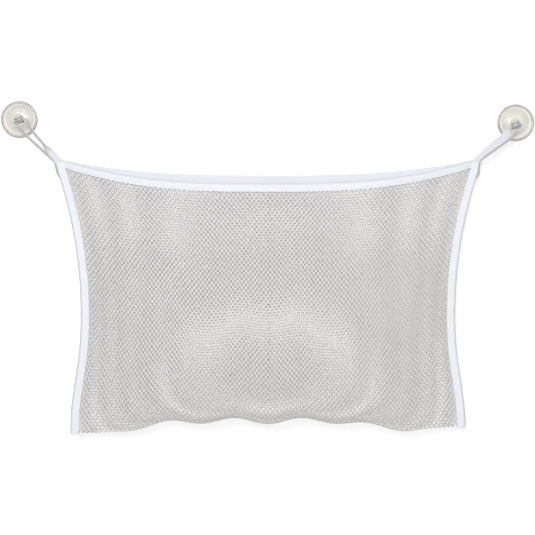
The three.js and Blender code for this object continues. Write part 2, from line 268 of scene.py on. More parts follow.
NET_SEAM_SPAN = 0.04
NET_IN_SIDE_TAPE = 0.0050
NET_IN_HEM = 0.020
HOLE_PITCH = 0.0049
ROW_PITCH = 0.00315
HOLE_SHARE = 0.66
HOLE_SPREAD = 0.05
YARN_THICKNESS = 0.0009
KNOT_CORNERS = 4
GRID_TRIM = 0.5001
GRID_MERGE = 1e-5
YARN_MERGE = 1e-6
SHEET_COLUMNS = 80
SHEET_ROWS = 96
ARC_SAMPLES = 200
CREASE_HEIGHT = 0.0012
CREASE_PITCH = 0.031
CREASE_REACH = 0.075
CREASE_SLOPE = 0.75
RIPPLE_HEIGHT = 0.0011
RIPPLE_SCALE = 21.0
SLACK_SIDE_CURVE = 8
SLACK_BELOW_HEM = 0.08
SLACK_ABOVE_FOLD = 0.10
NET_WHITE = (0.765, 0.75, 0.745, 1)
NET_SHADE = (0.665, 0.655, 0.655, 1)


def lerp(a, b, t):
    return a + (b - a) * t


def ease(t):
    k = min(1.0, max(0.0, t))
    return k * k * (3 - 2 * k)


def outer_half_width(z):
    if z > WAIST_Z:
        flare = (TOP_WIDTH - WAIST_WIDTH) / 2 * ((z - WAIST_Z) / WAIST_DROP) ** UPPER_FLARE_CURVE
    else:
        down = (WAIST_Z - z) / (SIDE_HEIGHT - WAIST_DROP)
        flare = (BOTTOM_WIDTH - WAIST_WIDTH) / 2 * ease(down / LOWER_FLARE_SPAN) ** LOWER_FLARE_CURVE
    return WAIST_WIDTH / 2 + flare


def net_half_width(z):
    return outer_half_width(z) - TAPE_WIDTH - SEWN_GAP


def seam_y(z):
    return -SEAM_DEPTH - SEAM_LEAN * (CORNER_Z - z) / SIDE_HEIGHT


def fullness(u):
    return 1 - min(1.0, abs(u)) ** BELLY_CURVE


def hem_top(panel, u):
    return CORNER_Z - panel["sag"] * (1 - abs(u) ** HEM_CURVE)


def fold_z(u):
    arch = FOLD_RISE * ease((FOLD_LOW_FROM - abs(u + FOLD_SHIFT)) / FOLD_RISE_SPAN)
    lobes = LOBE_HEIGHT * math.cos(math.pi * BOTTOM_WIDTH * u / LOBE_PITCH) * (1 - u * u)
    return FOLD_CORNER_Z + arch - lobes + FOLD_SKEW * u ** 3


def slack(panel, x, z, u, down):
    """How far hanging net stands off its smooth shape: soft ripples, and creases from the top corners."""
    off_sides = 1 - min(1.0, abs(u)) ** SLACK_SIDE_CURVE
    free = off_sides * ease(down / SLACK_BELOW_HEM) * ease((1 - down) / SLACK_ABOVE_FOLD)
    ripple = RIPPLE_HEIGHT * noise.noise(Vector((x * RIPPLE_SCALE, panel["seed"], z * RIPPLE_SCALE)))
    from_corner = Vector((TOP_WIDTH / 2 - abs(x), CORNER_Z - z))
    crease = math.sin((from_corner.x - CREASE_SLOPE * from_corner.y) * 2 * math.pi / CREASE_PITCH)
    crease *= CREASE_HEIGHT * math.exp(-(from_corner.length / CREASE_REACH) ** 2)
    return free * (ripple + crease)


def net_point(panel, u, s):
    """A point of the net: u runs from -1 to 1 across it.
    s is 0 at the hem, 1 at the turn of the belly and 2 at the fold."""
    turn = panel["turn"] / SIDE_HEIGHT
    if s <= 1:
        drop = turn * s
        depth = lerp(panel["hem"], panel["depth"], math.sin(s * math.pi / 2) ** 2)
    else:
        a = (s - 1) * math.pi / 2
        drop = turn + (1 - turn) * math.sin(a)
        depth = FOLD_FORWARD + (panel["depth"] - FOLD_FORWARD) * math.cos(a)
    z = lerp(hem_top(panel, u) - TAPE_WIDTH - SEWN_GAP, fold_z(u), drop)
    in_seam = ease((abs(u) - NET_SEAM_FROM) / NET_SEAM_SPAN)
    layer = panel["facing"] * lerp(NET_LAYER, NET_LAYER_IN_SEAM, in_seam)
    x = u * net_half_width(z)
    y = seam_y(z) + layer - depth * fullness(u) + panel["facing"] * slack(panel, x, z, u, drop)
    return x, y, z


def net_sheet(panel):
    """The panel as a plain sheet with rows evenly spaced along the cloth, and its mean width and length."""
    reach = 1 + NET_IN_SIDE_TAPE / (WAIST_WIDTH / 2)
    samples = np.linspace(-NET_IN_HEM, 2 + panel["tail"] * 2, ARC_SAMPLES)
    rows = np.linspace(0, 1, SHEET_ROWS + 1)
    columns = []
    lengths = []
    for u in np.linspace(-reach, reach, SHEET_COLUMNS + 1):
        line = np.array([net_point(panel, u, s) for s in samples])
        run = np.concatenate(([0], np.cumsum(np.linalg.norm(np.diff(line, axis=0), axis=1))))
        columns.append(np.stack([np.interp(rows * run[-1], run, line[:, k]) for k in range(3)], axis=1))
        lengths.append(run[-1])
    grid = np.stack(columns)
    tall = SHEET_ROWS + 1
    faces = [(c * tall + r, c * tall + r + 1, (c + 1) * tall + r + 1, (c + 1) * tall + r)
             for c in range(SHEET_COLUMNS) for r in range(SHEET_ROWS)]
    mesh = bpy.data.meshes.new("net_sheet")
    mesh.from_pydata(grid.reshape(-1, 3).tolist(), [], faces)
    place = mesh.uv_layers.new(name="cloth").data
    for loop in mesh.loops:
        column, row = divmod(loop.vertex_index, tall)
        place[loop.index].uv = (column / SHEET_COLUMNS, row / SHEET_ROWS)
    width = np.linalg.norm(np.diff(grid, axis=0), axis=2).sum(axis=0).mean()
    return mesh, float(width), float(np.mean(lengths))


def new_tree(name, sockets):
    """A Geometry Nodes tree with the named inputs: its graph, and a function that gives an input's wire."""
    tree = bpy.data.node_groups.new(name, "GeometryNodeTree")
    for socket, kind in {"Geometry": "Geometry", **sockets}.items():
        tree.interface.new_socket(socket, in_out="INPUT", socket_type="NodeSocket" + kind)
    tree.interface.new_socket("Geometry", in_out="OUTPUT", socket_type="NodeSocketGeometry")
    graph = Graph(tree)
    return graph, graph.add("NodeGroupInput").output


def end_tree(graph, given, geometry):
    whole = graph.add("GeometryNodeRealizeInstances", None, {0: geometry})
    smooth = graph.add("GeometryNodeSetShadeSmooth", None, {0: whole})
    painted = graph.add("GeometryNodeSetMaterial", None, {"Geometry": smooth, "Material": given("Finish")})
    graph.add("NodeGroupOutput", None, {"Geometry": painted})
    return graph.tree


def net_tree():
    """Holes in staggered rows: each corner of a slanted grid becomes a hole, each of its cells a knot."""
    graph, given = new_tree("knitted_net", {
        "Columns": "Int", "Rows": "Int", "Hole Share": "Float", "Hole Spread": "Float",
        "Yarn Thickness": "Float", "Seed": "Int", "Finish": "Material"})

    def opened(mesh, selection, share):
        """The mesh with each chosen face drawn in to a share of its size and taken out."""
        inset = graph.add("GeometryNodeExtrudeMesh", {"mode": "FACES"}, {
            "Mesh": mesh, "Selection": selection, "Offset Scale": 0.0, "Individual": True})
        hole = inset.output("Top")
        ringed = graph.add("GeometryNodeStoreNamedAttribute", {"data_type": "BOOLEAN", "domain": "POINT"}, {
            "Geometry": inset, "Name": "hole_edge", "Value": hole})
        drawn_in = graph.add("GeometryNodeScaleElements", {"domain": "FACE"}, {
            "Geometry": ringed, "Selection": hole, "Scale": share})
        return graph.add("GeometryNodeDeleteGeometry", {"domain": "FACE", "mode": "ONLY_FACE"}, {
            "Geometry": drawn_in, "Selection": hole})

    lines = given("Columns") + given("Rows")
    grid = graph.add("GeometryNodeMeshGrid", None, {
        "Size X": 1.0, "Size Y": 1.0, "Vertices X": lines + 1, "Vertices Y": lines + 1})
    crossed = graph.add("GeometryNodeMergeByDistance", None, {
        "Geometry": opened(grid, True, 0.0), "Distance": GRID_MERGE})
    place = graph.add("ShaderNodeSeparateXYZ", None, {0: graph.add("GeometryNodeInputPosition")})
    first = (place.output("X") + 0.5) * lines - given("Columns") * 0.5
    second = (place.output("Y") + 0.5) * lines - given("Columns") * 0.5
    slant = graph.add("ShaderNodeCombineXYZ", None, {
        "X": (first - second) / (given("Columns") * 2.0) + 0.5,
        "Y": (first + second) / (given("Rows") * 2.0)})
    slanted = graph.add("GeometryNodeSetPosition", None, {"Geometry": crossed, "Position": slant})
    flat = graph.add("ShaderNodeSeparateXYZ", None, {0: graph.add("GeometryNodeInputPosition")})
    off_middle_x = (flat.output("X") - 0.5).math("ABSOLUTE")
    off_middle_y = (flat.output("Y") - 0.5).math("ABSOLUTE")
    outside = off_middle_x.math("MAXIMUM", off_middle_y).math("GREATER_THAN", GRID_TRIM)
    trimmed = graph.add("GeometryNodeDeleteGeometry", {"domain": "POINT"}, {
        "Geometry": slanted, "Selection": outside})
    net = graph.add("GeometryNodeDualMesh", None, {"Mesh": trimmed})
    cloth = graph.add("GeometryNodeInputNamedAttribute", {"data_type": "FLOAT_VECTOR"}, {"Name": "cloth"})
    on_sheet = graph.add("GeometryNodeSampleUVSurface", {"data_type": "FLOAT_VECTOR"}, {
        "Mesh": given("Geometry"), "Value": graph.add("GeometryNodeInputPosition"),
        "UV Map": cloth, "Sample UV": graph.add("GeometryNodeInputPosition")})
    hung = graph.add("GeometryNodeSetPosition", None, {"Geometry": net, "Position": on_sheet})
    edge = graph.add("GeometryNodeInputMeshEdgeNeighbors").math("COMPARE", 1.0, 0.1)
    marked = graph.add("GeometryNodeStoreNamedAttribute", {"data_type": "FLOAT", "domain": "EDGE"}, {
        "Geometry": hung, "Name": "cut_edge", "Value": edge})
    is_hole = graph.add("GeometryNodeInputMeshFaceNeighbors").math("GREATER_THAN", KNOT_CORNERS + 0.5)
    share = graph.add("FunctionNodeRandomValue", {"data_type": "FLOAT"}, {
        2: given("Hole Share") - given("Hole Spread"), 3: given("Hole Share") + given("Hole Spread"),
        "Seed": given("Seed")}, 1)
    pierced = opened(marked, is_hole, share)
    is_ring = graph.add("GeometryNodeInputNamedAttribute", {"data_type": "BOOLEAN"}, {"Name": "hole_edge"})
    is_cut = graph.add("GeometryNodeInputNamedAttribute", {"data_type": "FLOAT"}, {"Name": "cut_edge"})
    thin = graph.add("GeometryNodeFieldOnDomain", {"data_type": "BOOLEAN", "domain": "POINT"}, {
        "Value": (is_ring + is_cut).math("GREATER_THAN", 0.01)})
    yarn = graph.add("GeometryNodeDeleteGeometry", {"domain": "FACE"}, {
        "Geometry": pierced, "Selection": thin})
    normal = graph.add("GeometryNodeInputNormal")
    faces = []
    for sign in (0.5, -0.5):
        lift = graph.add("ShaderNodeVectorMath", {"operation": "SCALE"}, {
            0: normal, "Scale": given("Yarn Thickness") * sign})
        faces.append(graph.add("GeometryNodeSetPosition", None, {
            "Geometry": yarn, "Selection": 1 - thin, "Offset": lift}))
    faces[1] = graph.add("GeometryNodeFlipFaces", None, {"Mesh": faces[1]})
    both = graph.add("GeometryNodeJoinGeometry", None, {"Geometry": tuple(faces)})
    knitted = graph.add("GeometryNodeMergeByDistance", None, {"Geometry": both, "Distance": YARN_MERGE})
    return end_tree(graph, given, knitted)


def grown(name, mesh, tree, values):
    """The plain mesh that a tree grows from a given one, with the tree's inputs set by name."""
    seedling = bpy.data.objects.new(name, mesh)
    scene.collection.objects.link(seedling)
    modifier = seedling.modifiers.new(name, "NODES")
    modifier.node_group = tree
    for socket in tree.interface.items_tree:
        if socket.in_out == "INPUT" and socket.name in values:
            modifier[socket.identifier] = values[socket.name]
    evaluated = seedling.evaluated_get(bpy.context.evaluated_depsgraph_get())
    result = bpy.data.meshes.new_from_object(evaluated)
    bpy.data.objects.remove(seedling)
    result.name = name
    for attribute in ("cut_edge", "hole_edge"):
        if attribute in result.attributes:
            result.attributes.remove(result.attributes[attribute])
    return result


def net_yarn(graph):
    place = graph.add("ShaderNodeTexCoord").output("Object")
    filaments = graph.add("ShaderNodeTexNoise", None, {"Vector": place, "Scale": 2600.0, "Detail": 2.0})
    cloud = graph.add("ShaderNodeTexNoise", None, {"Vector": place, "Scale": 28.0, "Detail": 3.0})
    tone = (filaments * 0.55 + cloud * 0.45).math("SMOOTH_MIN", 1.0, 0.2)
    bump = graph.add("ShaderNodeBump", None, {"Strength": 0.5, "Distance": 0.00012, "Height": filaments})
    return graph.add("ShaderNodeBsdfPrincipled", None, {
        "Base Color": graph.mix(tone, NET_SHADE, NET_WHITE), "Roughness": 0.58 + filaments * 0.25,
        "Normal": bump, "Sheen Weight": 0.15, "Specular IOR Level": 0.35})


net_finish = finish_named("knitted_polyester", net_yarn)
net_growth = net_tree()


def half_net(name, net, sign):
    """The faces of a net on one side of the middle, cut between two columns of knots, closed where it is
    cut and shaded as the whole net is."""
    faces = [tuple(f.vertices) for f in net.polygons if sign * (f.center.x - HOLE_PITCH / 4) > 0]
    used = sorted({v for face in faces for v in face})
    place = {v: i for i, v in enumerate(used)}
    mesh = bpy.data.meshes.new(name)
    mesh.from_pydata(
        [tuple(net.vertices[v].co) for v in used], [], [tuple(place[v] for v in face) for face in faces])
    shell = bmesh.new()
    shell.from_mesh(mesh)
    cut = [edge for edge in shell.edges if edge.is_boundary]
    for face in bmesh.ops.holes_fill(shell, edges=cut, sides=0)["faces"]:
        loop = face.loops[0]
        if loop.link_loop_radial_next.vert == loop.vert:
            face.normal_flip()
    shell.to_mesh(mesh)
    shell.free()
    piece = add_piece(name, mesh, net_finish)
    mesh.normals_split_custom_set_from_vertices([tuple(net.vertices[v].normal) for v in used])
    return piece


for name, panel in (("back", BACK), ("front", FRONT)):
    sheet, net_width, net_length = net_sheet(panel)
    net = grown(f"{name}_net_cloth", sheet, net_growth, {
        "Columns": round(net_width / HOLE_PITCH), "Rows": round(net_length / ROW_PITCH / 2),
        "Hole Share": HOLE_SHARE, "Hole Spread": HOLE_SPREAD, "Yarn Thickness": YARN_THICKNESS,
        "Seed": int(panel["seed"]), "Finish": net_finish})
    for side, sign in (("left", -1), ("right", 1)):
        net_half = half_net(f"{name}_net_cloth_{side}", net, sign)
        if panel is FRONT:
            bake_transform(net_half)
        else:
            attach(net_half, "bag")
        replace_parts(net_half, f"{name}_net")
    bpy.data.meshes.remove(net)


# The mouth bindings: white woven polyester tape, folded in half over the top edge of each panel of net.
# They sag in a shallow curve between the corners, pulled in along the row of stitches that holds them.
HEM_THICKNESS = 0.0022
HEM_LAYER = HEM_THICKNESS / 2 + SEWN_GAP / 2
HEM_TUCK = 0.0028
HEM_PINCH = 0.015
HEM_PINCHED_LAYER = 0.30
HEM_PINCHED_THICKNESS = 0.22
HEM_CAVITY = 0.0004
HEM_WAVER_SCALE = 55
HEM_WAVER_RISE = 0.8
# How much painted shade the folds of the mouth bindings get: on the front one it paints the shaded line where
# it meets the back one.
FRONT_HEM_FOLD_SHADE = 0.65
BACK_HEM_FOLD_SHADE = 0.0
TAPE_STEP = 0.0012
STITCH_INSET = 0.0022
STITCH_PITCH = 0.0031
PUCKER = 0.00022
PUCKER_MEAN = 0.6
PUCKER_SWING = 0.4
PUCKER_WIDTH = 0.0012
TAPE_WAVER = 0.00035
TAPE_YARN = 0.00048
CAP_ANGLE = math.radians(65)
TAPE_ROLL = 0.0030
TAPE_EDGE = 0.0006
TAPE_EDGE_THINNED = 0.25
TAPE_LIP = 0.0002
TAPE_FACE_POINTS = 8
TAPE_ROLL_POINTS = 13
TAPE_WHITE = (0.87, 0.885, 0.93, 1)
TAPE_SHADE = (0.77, 0.79, 0.845, 1)
# The colour of the painted shade that folds and edges darken toward, where the tape rolls away from the
# light.
TAPE_FOLD_SHADE = (0.60, 0.615, 0.64, 1)


def woven_tape(graph, white, shade, worn):
    cloth = graph.add("ShaderNodeSeparateXYZ", None, {0: graph.add("ShaderNodeUVMap", {"uv_map": "weave"})})
    turns = 2 * math.pi / TAPE_YARN
    warp = (cloth.output("Y") * turns).math("SINE")
    weft = (cloth.output("X") * turns).math("SINE")
    weave = warp * weft * 0.5 + 0.5
    place = graph.add("ShaderNodeTexCoord").output("Object")
    cloud = graph.add("ShaderNodeTexNoise", None, {"Vector": place, "Scale": 55.0, "Detail": 4.0})
    fuzz = graph.add("ShaderNodeTexNoise", None, {"Vector": place, "Scale": 4200.0, "Detail": 2.0})
    tone = weave * 0.45 + cloud * 0.40 + fuzz * 0.30
    # Painted shade: the colour darkens toward the given shade colour by a point attribute set at folds and
    # edges.
    shade_share = graph.add("ShaderNodeAttribute", {"attribute_name": "worn"}).output("Fac")
    bump = graph.add("ShaderNodeBump", None, {
        "Strength": 0.55, "Distance": 0.00010, "Height": weave * 0.7 + fuzz * 0.3})
    colour = graph.mix(shade_share, graph.mix(tone, shade, white), worn)
    return graph.add("ShaderNodeBsdfPrincipled", None, {
        "Base Color": colour, "Roughness": 0.62 + weave * 0.16,
        "Normal": bump, "Sheen Weight": 0.2, "Specular IOR Level": 0.3})


tape_finish = finish_named(
    "woven_polyester_tape", lambda graph: woven_tape(graph, TAPE_WHITE, TAPE_SHADE, TAPE_FOLD_SHADE))


def loft(name, rings, finish, worn):
    """A closed skin over rings of points, with the length and the girth in metres as its map for the weave.
    The rings of numbers say how much painted shade the cloth gets at each point."""
    around = len(rings[0])
    points = np.array([[tuple(p) for p in ring] for ring in rings])
    run = np.concatenate(([0], np.cumsum(np.linalg.norm(np.diff(points.mean(axis=1), axis=0), axis=1))))
    middle = points[len(rings) // 2]
    girth = np.concatenate(([0], np.cumsum(np.linalg.norm(np.roll(middle, -1, axis=0) - middle, axis=1))))
    faces = []
    weave = []
    for i in range(len(rings) - 1):
        for j in range(around):
            k = (j + 1) % around
            faces.append((i * around + j, i * around + k, (i + 1) * around + k, (i + 1) * around + j))
            weave += [(run[i], girth[j]), (run[i], girth[j + 1]),
                      (run[i + 1], girth[j + 1]), (run[i + 1], girth[j])]
    for i in (0, len(rings) - 1):
        faces.append(tuple(range(i * around, (i + 1) * around)))
        weave += [(run[i], girth[j]) for j in range(around)]
    mesh = bpy.data.meshes.new(name)
    mesh.from_pydata(points.reshape(-1, 3).tolist(), [], faces)
    mesh.uv_layers.new(name="weave").data.foreach_set("uv", np.array(weave, dtype=np.float32).ravel())
    shell = bmesh.new()
    shell.from_mesh(mesh)
    bmesh.ops.recalc_face_normals(shell, faces=shell.faces)
    shell.to_mesh(mesh)
    shell.free()
    mesh.attributes.new("worn", "FLOAT", "POINT").data.foreach_set(
        "value", np.array(worn, dtype=np.float32).ravel())
    piece = add_piece(name, mesh, finish)
    mesh.set_sharp_from_angle(angle=CAP_ANGLE)
    return piece


def fold_shade(section, strength):
    """Painted shade of a folded tape: most at its fold, fading over the roll."""
    return [strength * ease(1 - w / TAPE_ROLL) for w, _ in section]


def folded_section(width, thickness, cavity, run):
    """Outline of a tape folded over an edge, as distances from the fold and from its middle plane.
    It rolls over softly at the fold and is drawn in along the row of stitches, most at each stitch."""
    half = thickness / 2
    dip = PUCKER * (PUCKER_MEAN + PUCKER_SWING * math.cos(2 * math.pi * run / STITCH_PITCH))
    outer = []
    for w in np.linspace(TAPE_ROLL, width, TAPE_FACE_POINTS):
        drawn_in = dip * math.exp(-((w - width + STITCH_INSET) / PUCKER_WIDTH) ** 2)
        thinned = TAPE_EDGE_THINNED * half * ease((w - width + TAPE_EDGE) / TAPE_EDGE)
        outer.append((w, half - drawn_in - thinned))
    roll = [(TAPE_ROLL - TAPE_ROLL * math.sin(a), half * math.cos(a))
            for a in np.linspace(0, math.pi, TAPE_ROLL_POINTS)[1:-1]]
    inner = [(width - TAPE_LIP, cavity), (width / 2, cavity), (TAPE_ROLL, cavity)]
    return (outer[::-1] + roll + [(w, -n) for w, n in outer]
            + [(w, -n) for w, n in inner] + [(TAPE_ROLL / 2, 0)] + inner[::-1])


def hem_point(panel, u, drop, lift):
    """A point of a mouth binding: drop counts down from its fold, lift away from the wall."""
    z = hem_top(panel, u) - drop
    pinch = ease((abs(u) - 1 + HEM_PINCH * 2) / (HEM_PINCH * 2))
    layer = panel["facing"] * HEM_LAYER * (1 - HEM_PINCHED_LAYER * pinch)
    y = seam_y(z) + layer - panel["hem"] * fullness(u)
    x = u * net_half_width(z)
    waver = TAPE_WAVER * (1 - pinch) * noise.noise(Vector((x * HEM_WAVER_SCALE, panel["seed"], 0)))
    pinched_lift = lift * (1 - HEM_PINCHED_THICKNESS * pinch)
    return Vector((x, y - pinched_lift + waver, z + waver * HEM_WAVER_RISE))


def hem_binding(name, panel, start, end, shade_strength):
    steps = round(abs(end - start) * TOP_WIDTH / 2 / TAPE_STEP)
    rings = []
    for i in range(steps + 1):
        u = start + (end - start) * i / steps
        section = folded_section(TAPE_WIDTH, HEM_THICKNESS, HEM_CAVITY, u * TOP_WIDTH / 2)
        rings.append([hem_point(panel, u, w, n) for w, n in section])
    piece = loft(name, rings, tape_finish, [fold_shade(section, shade_strength)] * len(rings))
    return piece


hem_reach = 1 + HEM_TUCK / (TOP_WIDTH / 2)
back_hem = hem_binding("back_mouth_tape", BACK, -hem_reach, hem_reach, BACK_HEM_FOLD_SHADE)
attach(back_hem, "bag")
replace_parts(back_hem, "back_top_binding")
for side, sign in (("left", -1), ("right", 1)):
    front_hem = hem_binding(f"front_mouth_tape_{side}", FRONT, sign * hem_reach, 0.0, FRONT_HEM_FOLD_SHADE)
    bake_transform(front_hem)
    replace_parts(front_hem, "front_top_binding")


# The side bindings: the same tape, a little thicker, folded over the edges of both panels of net.
# Their upper ends swell where they also take in the ends of the mouth bindings.
SIDE_THICKNESS = 0.0026
SIDE_THICKNESS_AT_CORNER = 0.0046
SIDE_SWELL_LENGTH = 0.016
SIDE_SWELL_RISE = 0.7
SIDE_CAVITY = 0.0008
SIDE_END_ROUND = 0.0030
SIDE_END_TRIM = 0.9
SIDE_END_FLATTEN = 0.4
SIDE_END_POINTS = 7
SIDE_WAVER_SEED = 7.0
SIDE_WAVER_SCALE = 60
# Painted shade along the outer folds of the side bindings, where they roll away from the light.
SIDE_FOLD_SHADE = 1.0


def side_thickness(z):
    swell = ease((z - CORNER_Z + SIDE_SWELL_LENGTH) / (SIDE_SWELL_LENGTH * SIDE_SWELL_RISE))
    return lerp(SIDE_THICKNESS, SIDE_THICKNESS_AT_CORNER, swell)


def side_point(sign, z, inset, lift):
    """A point of a side binding: inset counts in from its fold, lift away from the wall."""
    waver = TAPE_WAVER * noise.noise(Vector((sign * SIDE_WAVER_SEED, 0, z * SIDE_WAVER_SCALE)))
    return Vector((sign * (outer_half_width(z) - inset + waver), seam_y(z) - lift + waver, z))


def side_binding(name, sign):
    foot = FOLD_CORNER_Z + sign * FOLD_SKEW
    ends = [SIDE_END_ROUND * (1 - math.cos(a)) for a in np.linspace(0, math.pi / 2, SIDE_END_POINTS)[:-1]]
    between = np.linspace(foot + SIDE_END_ROUND, CORNER_Z - SIDE_END_ROUND, round(SIDE_HEIGHT / TAPE_STEP))
    rings = []
    for z in [foot + e for e in ends] + list(between) + [CORNER_Z - e for e in reversed(ends)]:
        from_end = min(z - foot, CORNER_Z - z)
        corner = 1 - min(1.0, from_end / SIDE_END_ROUND)
        trim = SIDE_END_ROUND * (1 - math.sqrt(1 - corner ** 2)) * SIDE_END_TRIM
        flatten = 1 - SIDE_END_FLATTEN * corner ** 2
        section = folded_section(TAPE_WIDTH, side_thickness(z) * flatten, SIDE_CAVITY * flatten, z)
        rings.append([side_point(sign, z, lerp(trim, TAPE_WIDTH - trim, w / TAPE_WIDTH), n)
                      for w, n in section])
    return loft(name, rings, tape_finish, [fold_shade(section, SIDE_FOLD_SHADE)] * len(rings))


for side, sign in (("left", -1), ("right", 1)):
    side_tape = side_binding(f"{side}_side_tape", sign)
    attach(side_tape, "bag")
    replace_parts(side_tape, f"{side}_side_binding")


# The sewing: rows of lockstitch in white polyester thread, close to the inner edge of every binding.
# Each stitch is a short grain of thread that lies on the tape and dips in at both ends.
# It shows on both faces of the tape.
STITCH_LENGTH = 0.0026
THREAD_THICKNESS = 0.00048
STITCH_SINK = 0.00006
STITCH_REACH = 0.985
STITCH_END = 0.003
STITCH_LINE_POINTS = 160
STITCH_SLANT = math.radians(7)
THREAD_WHITE = (0.86, 0.865, 0.875, 1)
THREAD_SHADE = (0.70, 0.71, 0.735, 1)


def stitch_tree():
    graph, given = new_tree("row_of_stitches", {
        "Pitch": "Float", "Length": "Float", "Thickness": "Float", "Turn": "Float", "Finish": "Material"})
    line = graph.add("GeometryNodeMeshToCurve", None, {"Mesh": given("Geometry")})
    row = graph.add("GeometryNodeResampleCurve", {"mode": "LENGTH"}, {
        "Curve": line, "Length": given("Pitch")})
    grain = graph.add("GeometryNodeMeshUVSphere", None, {"Segments": 6, "Rings": 5, "Radius": 0.5})
    size = graph.add("ShaderNodeCombineXYZ", None, {
        "X": given("Length"), "Y": given("Thickness"), "Z": given("Thickness")})
    stitch = graph.add("GeometryNodeTransform", None, {"Geometry": grain, "Scale": size})
    outward = graph.add("GeometryNodeInputNamedAttribute", {"data_type": "FLOAT_VECTOR"}, {
        "Name": "outward"})
    lie = graph.add("FunctionNodeAxesToRotation", {"primary_axis": "X", "secondary_axis": "Z"}, {
        "Primary Axis": graph.add("GeometryNodeInputTangent"), "Secondary Axis": outward})
    turn = graph.add("FunctionNodeAxisAngleToRotation", None, {"Axis": (0, 0, 1), "Angle": given("Turn")})
    turned = graph.add("FunctionNodeRotateRotation", {"rotation_space": "LOCAL"}, {
        "Rotation": lie, "Rotate By": turn})
    stitches = graph.add("GeometryNodeInstanceOnPoints", None, {
        "Points": row, "Instance": stitch, "Rotation": turned})
    return end_tree(graph, given, stitches)


def sewing_thread(graph):
    place = graph.add("ShaderNodeTexCoord").output("Object")
    twist = graph.add("ShaderNodeTexWave", {"bands_direction": "DIAGONAL"}, {
        "Vector": place, "Scale": 900.0, "Distortion": 1.5})
    fuzz = graph.add("ShaderNodeTexNoise", None, {"Vector": place, "Scale": 3800.0, "Detail": 2.0})
    tone = twist * 0.6 + fuzz * 0.5
    bump = graph.add("ShaderNodeBump", None, {"Strength": 0.5, "Distance": 0.00006, "Height": twist})
    return graph.add("ShaderNodeBsdfPrincipled", None, {
        "Base Color": graph.mix(tone, THREAD_SHADE, THREAD_WHITE), "Roughness": 0.36 + fuzz * 0.2,
        "Normal": bump, "Sheen Weight": 0.15, "Specular IOR Level": 0.45})


thread_finish = finish_named("white_sewing_thread", sewing_thread)
stitch_growth = stitch_tree()


def sewn(name, lines, pitch, length, thickness, turn):
    """Stitches along lines of points, each line with the direction that its face looks in."""
    points = [tuple(p) for line, _ in lines for p in line]
    outward = [tuple(face) for line, face in lines for _ in line]
    edges = []
    first = 0
    for line, _ in lines:
        edges += [(first + i, first + i + 1) for i in range(len(line) - 1)]
        first += len(line)
    mesh = bpy.data.meshes.new(name)
    mesh.from_pydata(points, edges, [])
    mesh.attributes.new("outward", "FLOAT_VECTOR", "POINT").data.foreach_set(
        "vector", np.array(outward, dtype=np.float32).ravel())
    grains = grown(name, mesh, stitch_growth, {
        "Pitch": pitch, "Length": length, "Thickness": thickness, "Turn": turn, "Finish": thread_finish})
    piece = add_piece(name, grains, thread_finish)
    return piece


def stitch_lift(half_thickness):
    """How far a stitch lies from the middle plane of a tape of the given half thickness."""
    return half_thickness - PUCKER + THREAD_THICKNESS / 2 - STITCH_SINK


def lockstitch(name, line):
    """A row of stitches on both faces of a tape. The line is asked for the face away from the wall with 1,
    and for the one toward it with -1."""
    return sewn(name, [(line(1), (0, -1, 0)), (line(-1), (0, 1, 0))],
                STITCH_PITCH, STITCH_LENGTH, THREAD_THICKNESS, STITCH_SLANT)


def hem_stitches(name, panel, start, end):
    lift = stitch_lift(HEM_THICKNESS / 2)

    def line(face):
        return [hem_point(panel, u, TAPE_WIDTH - STITCH_INSET, face * lift)
                for u in np.linspace(start, end, STITCH_LINE_POINTS)]
    return lockstitch(name, line)


def side_stitches(name, sign):
    foot = FOLD_CORNER_Z + sign * FOLD_SKEW

    def line(face):
        return [side_point(sign, z, TAPE_WIDTH - STITCH_INSET, face * stitch_lift(side_thickness(z) / 2))
                for z in np.linspace(foot + STITCH_END, CORNER_Z - STITCH_END, STITCH_LINE_POINTS)]
    return lockstitch(name, line)


back_sewing = hem_stitches("back_mouth_stitches", BACK, -STITCH_REACH, STITCH_REACH)
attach(back_sewing, "bag")
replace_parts(back_sewing, "back_top_thread")
for side, sign in (("left", -1), ("right", 1)):
    front_sewing = hem_stitches(
        f"front_mouth_stitches_{side}", FRONT, sign * STITCH_REACH, sign * STITCH_PITCH / TOP_WIDTH)
    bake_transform(front_sewing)
    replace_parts(front_sewing, "front_top_thread")
    side_sewing = side_stitches(f"{side}_side_stitches", sign)
    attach(side_sewing, "bag")
    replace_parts(side_sewing, f"{side}_side_thread")


# The hanging loops: narrow tape, folded and stitched shut, with painted shade at its edges, sewn on at each
# top corner.
# Each runs up to its cup, through the head and back. Its inner leg lies flat in the corner of the bag;
# its outer leg stays on edge and is sewn down along the outside of the side tape.
CUP_X = (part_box("right_suction_cup")[0].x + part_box("right_suction_cup")[1].x) / 2
HOLE_RADIUS = 0.002944
HEAD_RADIUS = 0.005544
LOOP_TAPE = (0.0096, 0.0024)
LOOP_GATHER = (0.0046, 0.0024)
LOOP_SEWN_WIDTH = 0.0072
LOOP_SEWN_RUN = 0.004
LOOP_SEWN_DEPTHS = (0.004, 0.001)
LOOP_TAIL_WIDTH = 0.0050
LOOP_TAIL_TAPER = 0.0055
LOOP_TAIL_THINNED = 0.35
LOOP_TAIL_DROP = 0.0025
LOOP_TAIL_HUG = -0.0004
LOOP_STACK = 0.00105
LOOP_OFF_HEAD = 0.0014
LOOP_REACH = HEAD_RADIUS + LOOP_OFF_HEAD
LOOP_LEAN = math.radians(42)
LOOP_TWIST = 0.0155
LOOP_WIDEN_OUTER = 0.012
LOOP_WIDEN_INNER = 0.020
LOOP_BEND_STEP = 0.5
LOOP_NEAR_HEAD = 0.20
LOOP_HALF_WAY = 0.55
LOOP_BOW_HALF_WAY = 0.6
LOOP_STITCH_AT = 0.72
LOOP_STITCH_WIDTH = 0.07
